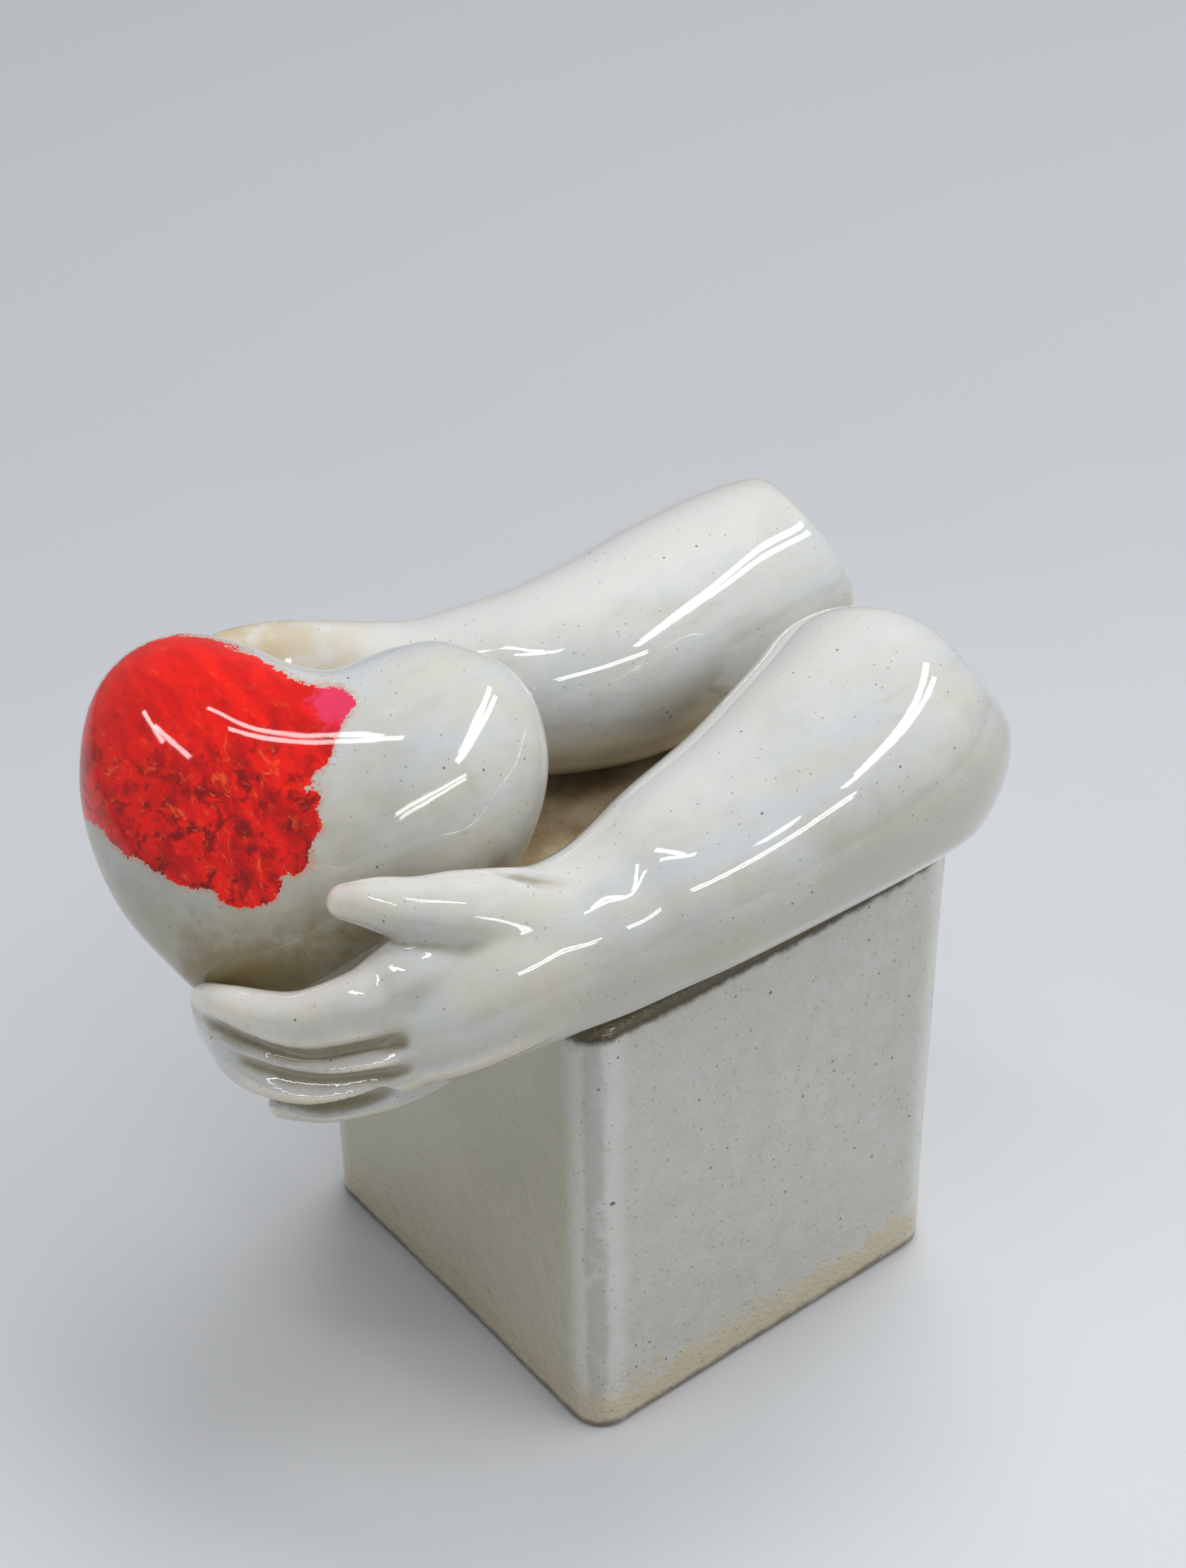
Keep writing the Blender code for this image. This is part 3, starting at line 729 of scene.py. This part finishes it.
class Finish:
    """A material's nodes, and short ways to add to them."""

    def __init__(self, name, roughness, coat=0.0):
        self.material = bpy.data.materials.new(name)
        self.material.use_nodes = True
        self.tree = self.material.node_tree
        self.shader = self.tree.nodes["Principled BSDF"]
        self.shader.inputs["Roughness"].default_value = roughness
        self.shader.inputs["Coat Weight"].default_value = coat
        self.place = self.tree.nodes.new("ShaderNodeTexCoord").outputs["Object"]

    def add(self, kind, sockets, **settings):
        """A node with its settings; each of its sockets takes a link or a constant."""
        made = self.tree.nodes.new(kind)
        for name, value in settings.items():
            setattr(made, name, value)
        for key, value in sockets.items():
            if isinstance(value, bpy.types.NodeSocket):
                self.tree.links.new(value, made.inputs[key])
            elif isinstance(value, tuple) and len(value) == 3 and made.inputs[key].type == "RGBA":
                made.inputs[key].default_value = (*value, 1)
            else:
                made.inputs[key].default_value = value
        return made

    def stretched(self, sizes):
        """The place, scaled so that a pattern is longer along some axes."""
        return self.add("ShaderNodeVectorMath", {0: self.place, 1: sizes}, operation="MULTIPLY").outputs[0]

    def noise(self, size, detail=3.0, roughness=0.5, distortion=0.0, place=None):
        """Noise of about 0.2 to 0.8, whose blotches have a size in metres."""
        sockets = {"Vector": place or self.place, "Scale": 1 / size, "Detail": detail, "Roughness": roughness,
                   "Distortion": distortion}
        return self.add("ShaderNodeTexNoise", sockets).outputs["Fac"]

    def attribute(self, name):
        """A value that write_value kept on the mesh."""
        return self.add("ShaderNodeAttribute", {}, attribute_name=name).outputs["Fac"]

    def spread(self, value, low, high, to_low=0.0, to_high=1.0):
        """A smooth step from one result to another, as the value goes from low to high."""
        sockets = {"Value": value, "From Min": low, "From Max": high, "To Min": to_low, "To Max": to_high}
        return self.add("ShaderNodeMapRange", sockets, interpolation_type="SMOOTHSTEP").outputs[0]

    def math(self, operation, first, second):
        """A number worked out from two others."""
        return self.add("ShaderNodeMath", {0: first, 1: second}, operation=operation).outputs[0]

    def blend(self, share, first, second):
        """The first colour where the share is 0, and the second where it is 1."""
        return self.add("ShaderNodeMix", {0: share, 6: first, 7: second}, data_type="RGBA").outputs[2]

    def along(self, axis):
        """How far along an axis from the frame's origin, in metres."""
        sockets = {0: self.place, 1: tuple(axis)}
        return self.add("ShaderNodeVectorMath", sockets, operation="DOT_PRODUCT").outputs["Value"]

    def specks(self, spacing, size, share):
        """Scattered round specks: 1 in a speck and 0 outside; a share of the cells has one."""
        cells = self.add("ShaderNodeTexVoronoi", {"Vector": self.place, "Scale": 1 / spacing})
        inside = self.spread(cells.outputs["Distance"], size / spacing * 0.6, size / spacing, 1.0, 0.0)
        pick = self.add("ShaderNodeSeparateColor", {0: cells.outputs["Color"]}).outputs[0]
        return self.math("MULTIPLY", inside, self.math("GREATER_THAN", pick, 1 - share))

    def bump(self, layers):
        """Surface relief from pairs of a height and its depth in metres."""
        normal = None
        for height, depth in layers:
            sockets = {"Height": height, "Distance": depth, "Strength": 1.0}
            if normal:
                sockets["Normal"] = normal
            normal = self.add("ShaderNodeBump", sockets).outputs[0]
        self.tree.links.new(normal, self.shader.inputs["Normal"])

    def colour(self, socket):
        """Give the surface its colour."""
        self.tree.links.new(socket, self.shader.inputs["Base Color"])


COOL_GREY = (0.63, 0.66, 0.675)
WARM_GREY = (0.65, 0.645, 0.59)
LIT_SIDE_PALE = (0.79, 0.79, 0.755)
RIDGE_CREAM = (0.84, 0.80, 0.68)
THIN_BEIGE = (0.62, 0.50, 0.31)
RIDGE_BEIGE = (0.86, 0.73, 0.48)
POOL_AND_SHADE_GREY = (0.32, 0.29, 0.19)
HOLLOW_AND_SHADE_BROWN = (0.12, 0.09, 0.04)
IRON_SPECK = (0.04, 0.03, 0.02)


def wandering(finish, value, size, reach):
    """A value made uneven by up to half the reach either way."""
    push = finish.spread(finish.noise(size, 4, 0.6), 0.2, 0.8, -reach / 2, reach / 2)
    return finish.math("ADD", value, push)


def glaze_colour(finish):
    """Milky glaze: grey where thick, cream and beige where thin on ridges, grey-brown in hollows and near
    other clay, where glaze pools and shade is painted.
    """
    # Brushing left streaks along the arms
    streaks = finish.noise(6 * MM, 4, 0.55, place=finish.stretched((0.3, 1.0, 1.0)))
    colour = finish.blend(finish.spread(streaks, 0.35, 0.65), COOL_GREY, WARM_GREY)
    brushed = finish.noise(2.5 * MM, 5, 0.65, 0.4, finish.stretched((0.22, 1.0, 1.0)))
    colour = finish.blend(finish.spread(brushed, 0.52, 0.78, 0.0, 0.20), colour, POOL_AND_SHADE_GREY)
    colour = finish.blend(finish.spread(brushed, 0.45, 0.22, 0.0, 0.35), colour, RIDGE_CREAM)
    # Ridges and hollows: hollows darken with pooling glaze and painted shade
    raised = wandering(finish, finish.attribute("relief"), 3 * MM, 0.16)
    colour = finish.blend(finish.spread(raised, 0.40, 0.95), colour, RIDGE_CREAM)
    colour = finish.blend(finish.spread(raised, 0.9, 1.8), colour, RIDGE_BEIGE)
    colour = finish.blend(finish.spread(raised, -0.05, -0.70), colour, POOL_AND_SHADE_GREY)
    colour = finish.blend(finish.spread(raised, -0.45, -1.1), colour, HOLLOW_AND_SHADE_BROWN)
    # Places close to other clay get painted shade, partly pooling glaze
    shelter_shade = wandering(finish, finish.attribute("shelter"), 2 * MM, 0.10)
    colour = finish.blend(finish.spread(shelter_shade, 0.20, 0.45), colour, POOL_AND_SHADE_GREY)
    return finish.blend(finish.spread(shelter_shade, 0.36, 0.62), colour, HOLLOW_AND_SHADE_BROWN)


def with_specks(finish, colour, boldness=1.0):
    """Iron specks of three sizes over a colour."""
    fine = finish.math("MULTIPLY", finish.specks(1.6 * MM, 0.22 * MM * boldness, 0.50), 0.40)
    small = finish.math("MULTIPLY", finish.specks(3.2 * MM, 0.28 * MM * boldness, 0.40), 0.70)
    large = finish.math("MULTIPLY", finish.specks(11 * MM, 0.42 * MM * boldness, 0.40), 0.85)
    specks = finish.math("MAXIMUM", fine, finish.math("MAXIMUM", small, large))
    return finish.blend(specks, colour, IRON_SPECK)


def glaze_bump(finish):
    """Glossy glaze is slightly wavy, with the odd pinhole."""
    wavy = finish.noise(9 * MM, 2, 0.4)
    peel = finish.noise(2.2 * MM, 2, 0.5)
    pinholes = finish.math("SUBTRACT", 1.0, finish.specks(3.6 * MM, 0.35 * MM, 0.35))
    finish.bump([(wavy, 0.07 * MM), (peel, 0.008 * MM), (pinholes, 0.05 * MM)])


def make_white_glaze():
    """The arms' glaze: painted light makes it creamy on the upper side and painted shade greyer below; it is
    thin over the far hand.
    """
    finish = Finish("white_glaze", 0.05, 1.0)
    colour = glaze_colour(finish)
    # Painted light and shade: paler on the side that faces the light, greyer on the side turned from it
    side = wandering(finish, finish.attribute("lit_side"), 8 * MM, 0.3)
    colour = finish.blend(finish.math("MULTIPLY", finish.spread(side, 0.40, 0.95), 0.8), colour, LIT_SIDE_PALE)
    colour = finish.blend(finish.math("MULTIPLY", finish.spread(side, 0.30, -0.6), 0.55), colour, POOL_AND_SHADE_GREY)
    patchy = finish.spread(finish.noise(5 * MM, 5, 0.6), 0.25, 0.6)
    colour = finish.blend(finish.math("MULTIPLY", finish.attribute("thin"), patchy), colour, THIN_BEIGE)
    finish.colour(with_specks(finish, colour))
    glaze_bump(finish)
    return finish.material


DEEP_RED = (0.27, 0.0, 0.0)
MIDDLE_RED = (0.52, 0.0, 0.0)
BRIGHT_RED = (0.95, 0.006, 0.0)
ORANGE_FLECK = (1.0, 0.13, 0.03)
MAGENTA = (0.85, 0.04, 0.12)
PINK_STAIN = (0.62, 0.30, 0.20)
CRADLED_POOL_AND_SHADE = (0.23, 0.175, 0.07)


def red_paint(finish):
    """Brushed red: even and bright at the top of the lobe, blotted and streaked lower down."""
    low = finish.spread(wandering(finish, finish.attribute("upwards"), 6 * MM, 14), 24.0, 2.0)
    mottle = finish.noise(2.8 * MM, 6, 0.68, 0.3)
    dark = finish.spread(mottle, 0.52, 0.38)
    brushed = finish.noise(3 * MM, 4, 0.6, 0.5, finish.stretched((1.0, 0.35, 0.6)))
    red = finish.blend(finish.spread(brushed, 0.35, 0.62), MIDDLE_RED, BRIGHT_RED)
    red = finish.blend(finish.math("MULTIPLY", finish.math("SUBTRACT", 1.0, low), 0.5), red, BRIGHT_RED)
    red = finish.blend(finish.math("MULTIPLY", dark, low), red, DEEP_RED)
    streaks = finish.noise(1.5 * MM, 4, 0.65, 1.2, finish.stretched((1.0, 0.4, 0.6)))
    boldness = finish.spread(low, 0.0, 1.0, 0.25, 0.8)
    flecks = finish.math("MULTIPLY", finish.spread(streaks, 0.55, 0.72), boldness)
    return finish.blend(flecks, red, ORANGE_FLECK)


def make_heart_glaze():
    """The heart's glaze, browner by the near hand and greyer lower down, where glaze pools and shade is
    painted, with a ragged patch of red painted on it.
    """
    finish = Finish("heart_glaze", 0.05, 0.6)
    colour = glaze_colour(finish)
    # Painted shade, partly pooling glaze: greyer lower down, and brown where the near hand cradles the heart
    lower_pool_and_shade = finish.spread(wandering(finish, finish.attribute("upwards"), 7 * MM, 14), 22.0, -26.0)
    colour = finish.blend(finish.math("MULTIPLY", lower_pool_and_shade, 0.75), colour, POOL_AND_SHADE_GREY)
    cradled = finish.spread(wandering(finish, finish.attribute("shelter"), 2.5 * MM, 0.08), 0.0, 0.17)
    lowest = finish.spread(wandering(finish, finish.attribute("upwards"), 5 * MM, 8), 1.0, -15.0, 0.0, 0.9)
    colour = finish.blend(finish.math("MULTIPLY", cradled, lowest), colour, CRADLED_POOL_AND_SHADE)
    colour = with_specks(finish, colour)
    red = red_paint(finish)
    sockets = {0: finish.place, 1: tuple(MAGENTA_TIP)}
    tip_distance = finish.add("ShaderNodeVectorMath", sockets, operation="DISTANCE").outputs["Value"]
    tip = finish.spread(wandering(finish, tip_distance, 1.5 * MM, 3 * MM), 6 * MM, 3.5 * MM)
    red = finish.blend(tip, red, MAGENTA)
    # The paint's edge is ragged, and a faint stain runs past it
    depth = finish.attribute("patch")
    ragged = wandering(finish, wandering(finish, depth, 2.4 * MM, 1.1), 0.6 * MM, 0.4)
    stain = finish.math("MULTIPLY", finish.spread(wandering(finish, depth, 0.8 * MM, 1.6), -0.9, 0.0), 0.55)
    colour = finish.blend(stain, colour, PINK_STAIN)
    finish.colour(finish.blend(finish.spread(ragged, -0.1, 0.1), colour, red))
    glaze_bump(finish)
    return finish.material


STONE_GREY = (0.46, 0.46, 0.41)
STONE_LIGHT = (0.52, 0.525, 0.485)
LEFT_BEIGE = (0.53, 0.485, 0.33)
CORNER_SHADE_GREY = (0.39, 0.375, 0.345)
EDGE_HIGHLIGHT = (0.66, 0.66, 0.62)
RIM_SHADE_BROWN = (0.12, 0.10, 0.06)
RIM_SHADOW_DARK = (0.035, 0.027, 0.015)
TAN_BREAK = (0.62, 0.52, 0.33)
FOOT_SHADOW_BROWN = (0.15, 0.085, 0.03)


def make_plinth_glaze():
    """Thin satin glaze over speckled clay, which breaks tan and gritty near the foot."""
    finish = Finish("plinth_glaze", 0.22, 0.5)
    cloud = finish.spread(finish.noise(5 * MM, 7, 0.75), 0.28, 0.72)
    colour = finish.blend(cloud, STONE_GREY, STONE_LIGHT)
    # The left wall is browner; the upright corners are paler with a painted highlight, and have patches of
    # painted shade
    left = finish.spread(finish.along(Vector((1, 0, 0))), -0.93 * HALF_WIDTH, -0.99 * HALF_WIDTH)
    colour = finish.blend(finish.math("MULTIPLY", left, 0.7), colour, LEFT_BEIGE)
    edge = wandering(finish, finish.attribute("from_corner"), 6 * MM, 0.9)
    colour = finish.blend(finish.math("MULTIPLY", finish.spread(edge, 8.0, 4.0), 0.8), colour, EDGE_HIGHLIGHT)
    patchy = finish.spread(finish.noise(5 * MM, 4), 0.2, 0.5)
    corner_shade = finish.math("MULTIPLY", finish.spread(edge, 3.6, 2.4), patchy)
    colour = finish.blend(finish.math("MULTIPLY", corner_shade, 0.65), colour, CORNER_SHADE_GREY)
    # Near the foot the glaze breaks
    height = finish.along(UP)
    low = finish.spread(wandering(finish, height, 5 * MM, 9 * MM), 13 * MM, 5 * MM)
    colour = finish.blend(finish.math("MULTIPLY", low, 0.8), colour, TAN_BREAK)
    grit = finish.noise(0.9 * MM, 3, 0.6)
    gritty = finish.math("MULTIPLY", low, finish.spread(grit, 0.52, 0.66))
    colour = finish.blend(finish.math("MULTIPLY", gritty, 0.6), colour, STONE_LIGHT)
    # Painted contact shadow, darker brown along the bottom of the walls
    foot = finish.spread(wandering(finish, height, 3 * MM, 1.4 * MM), 2.4 * MM, 1.0 * MM)
    colour = finish.blend(finish.math("MULTIPLY", foot, 0.9), colour, FOOT_SHADOW_BROWN)
    # Painted shadow and shade along the rim and near other clay, under the near arm
    shelter_shade = wandering(finish, finish.attribute("shelter"), 3 * MM, 0.08)
    under_arm = finish.spread(shelter_shade, 0.10, 0.26)
    rim = finish.spread(wandering(finish, height, 4 * MM, 3 * MM), TOP - 8 * MM, TOP - 3 * MM, 0.25, 0.85)
    colour = finish.blend(finish.math("MULTIPLY", rim, under_arm), colour, RIM_SHADE_BROWN)
    darkest = finish.spread(height, TOP - 4.0 * MM, TOP - 2.8 * MM, 0.0, 0.95)
    colour = finish.blend(finish.math("MULTIPLY", darkest, under_arm), colour, RIM_SHADOW_DARK)
    colour = finish.blend(finish.spread(shelter_shade, 0.14, 0.36), colour, HOLLOW_AND_SHADE_BROWN)
    pits = finish.math("MULTIPLY", finish.specks(2.3 * MM, 0.30 * MM, 0.30), 0.45)
    colour = finish.blend(pits, colour, HOLLOW_AND_SHADE_BROWN)
    finish.colour(with_specks(finish, colour, 1.3))
    grain = finish.noise(1.1 * MM, 3, 0.65)
    dents = finish.noise(6 * MM, 2)
    finish.bump([(dents, 0.6 * MM), (grain, 0.28 * MM), (finish.math("MULTIPLY", grit, low), 0.6 * MM)])
    return finish.material


RAW_CLAY = (0.70, 0.56, 0.36)
RAW_CLAY_DARK = (0.42, 0.30, 0.17)


def make_raw_clay():
    """Bare fired clay, with a painted contact shadow darkening the foot's edge."""
    finish = Finish("raw_clay", 0.85)
    cloud = finish.spread(finish.noise(9 * MM, 5, 0.6), 0.35, 0.65)
    colour = finish.blend(cloud, RAW_CLAY, RAW_CLAY_DARK)
    foot = finish.spread(finish.along(UP), 2.5 * MM, 0.1 * MM)
    colour = finish.blend(foot, colour, FOOT_SHADOW_BROWN)
    finish.colour(with_specks(finish, colour))
    finish.bump([(finish.noise(0.8 * MM, 3, 0.6), 0.12 * MM)])
    return finish.material


FLOOR_NEAR = (0.70, 0.72, 0.745)
FLOOR_FAR = (0.56, 0.575, 0.605)
FLOOR_AWAY = Vector((0.61, 0.79, 0))


def make_floor_material():
    """Pale cloth colour with painted light: lighter in front of the plinth than behind it."""
    finish = Finish("pale_floor", 0.9)
    away = wandering(finish, finish.along(FLOOR_AWAY), 90 * MM, 30 * MM)
    finish.colour(finish.blend(finish.spread(away, -80 * MM, 300 * MM), FLOOR_NEAR, FLOOR_FAR))
    return finish.material


# ================================================================ stage, lights and camera

def make_floor():
    """A wide, pale sheet."""
    half = FLOOR_SIZE / 2
    bm = bmesh.new()
    corners = ((-half, -half, 0), (half, -half, 0), (half, half, 0), (-half, half, 0))
    bm.faces.new([bm.verts.new(corner) for corner in corners])
    floor = add_mesh("floor", bm, closed=False)
    floor.data.materials.append(make_floor_material())


def add_light(name, place, size, energy):
    """A rectangular lamp that faces the object."""
    light = bpy.data.lights.new(name, "AREA")
    light.shape = "RECTANGLE"
    light.size, light.size_y = size
    light.energy = energy
    item = bpy.data.objects.new(name, light)
    bpy.context.scene.collection.objects.link(item)
    item.location = place
    item.rotation_mode = "QUATERNION"
    item.rotation_quaternion = (LIT_PLACE - place).to_track_quat("-Z", "Y")
    return item


def make_lights():
    """A softly lit room with pairs of ceiling tubes, which the glaze reflects."""
    world = bpy.data.worlds.new("studio")
    bpy.context.scene.world = world
    world.use_nodes = True
    background = world.node_tree.nodes["Background"]
    background.inputs["Color"].default_value = (*ROOM_COLOUR, 1)
    background.inputs["Strength"].default_value = ROOM_STRENGTH
    for number, (first, last, width, *forwards) in enumerate(TUBE_PAIRS):
        for side, forward in enumerate(forwards):
            length = last - first
            add_light(f"tube_{number}_{side}", Vector(((first + last) / 2, -forward, TUBE_HEIGHT)),
                      (length, width), TUBE_BRIGHTNESS * length * width)
    place, side, power = FILL
    add_light("fill", place, (side, side), power)
    place, side, power = CEILING
    add_light("ceiling", place, (side, side), power).visible_glossy = False


def make_camera():
    """The camera stands in front of the near arm, to its left, and looks down."""
    camera = bpy.data.cameras.new("camera")
    camera.sensor_fit = "VERTICAL"
    camera.sensor_height = CAMERA_SENSOR
    camera.lens = CAMERA_LENS
    camera.clip_start = 0.01
    camera.clip_end = 20
    item = bpy.data.objects.new("camera", camera)
    bpy.context.scene.collection.objects.link(item)
    onwards = Vector((math.sin(CAMERA_YAW), math.cos(CAMERA_YAW), 0))
    forward = onwards * math.cos(CAMERA_PITCH) - UP * math.sin(CAMERA_PITCH)
    level = Vector((math.cos(CAMERA_YAW), -math.sin(CAMERA_YAW), 0))
    upright = level.cross(forward)
    right = level * math.cos(CAMERA_ROLL) + upright * math.sin(CAMERA_ROLL)
    above = upright * math.cos(CAMERA_ROLL) - level * math.sin(CAMERA_ROLL)
    turned = Matrix((right, above, -forward)).transposed()
    item.matrix_world = Matrix.Translation(CAMERA_PLACE) @ turned.to_4x4()
    bpy.context.scene.camera = item


# ================================================================ everything together

def hand_in(item, material, body, slot, *nodes):
    """Give a piece its material and its body, and hide the CAD nodes that it stands for. The slot is not
    used.
    """
    item.data.materials.clear()
    item.data.materials.append(material)
    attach(item, body)
    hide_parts(*nodes)


def main():
    """The stage first, then each piece with its material."""
    make_camera()
    make_lights()
    make_floor()
    white_glaze = make_white_glaze()
    raw_clay = make_raw_clay()
    plinth_glaze = make_plinth_glaze()
    heart = make_heart()
    left_arm = make_arm("left_arm", LEFT_FOREARM, LEFT_HAND, LEFT_HAND_LINES, LEFT_ELBOW_ROUNDING,
                        [(ELBOW_CUT, LEFT_CUT_DEPTH), (RIM_CUT, RIM_CUT_DEPTH)],
                        LEFT_LIT_SIDE, LEFT_THINNESS, heart)
    right_arm = make_arm("right_arm", RIGHT_FOREARM, RIGHT_HAND, valleys(RIGHT_HAND), RIGHT_ELBOW_ROUNDING,
                         [(ELBOW_CUT, RIGHT_CUT_DEPTH)],
                         RIGHT_LIT_SIDE, RIGHT_THINNESS, heart)
    plinth_walls = make_plinth_walls()
    plinth_top = make_plinth_top()
    shelter([heart, left_arm, right_arm, plinth_walls, plinth_top], SHELTER_REACH)
    hand_in(heart, make_heart_glaze(), "embrace", "heart_glaze", "heart_front_shell", "heart_back_shell")
    hand_in(left_arm, white_glaze, "embrace", "white_glaze", "left_forearm", "left_hand")
    hand_in(right_arm, white_glaze, "embrace", "white_glaze", "right_forearm", "right_hand")
    hand_in(plinth_walls, plinth_glaze, "plinth", "plinth_glaze", "plinth_front_wall", "plinth_back_wall",
            "plinth_left_wall", "plinth_right_wall")
    hand_in(plinth_top, raw_clay, "plinth", "raw_clay", "plinth_top_slab")
    hand_in(make_plinth_foot(), raw_clay, "plinth", "raw_clay", "plinth_base_slab")


main()
bpy.context.scene.view_settings.view_transform = "Standard"
bpy.context.view_layer.update()
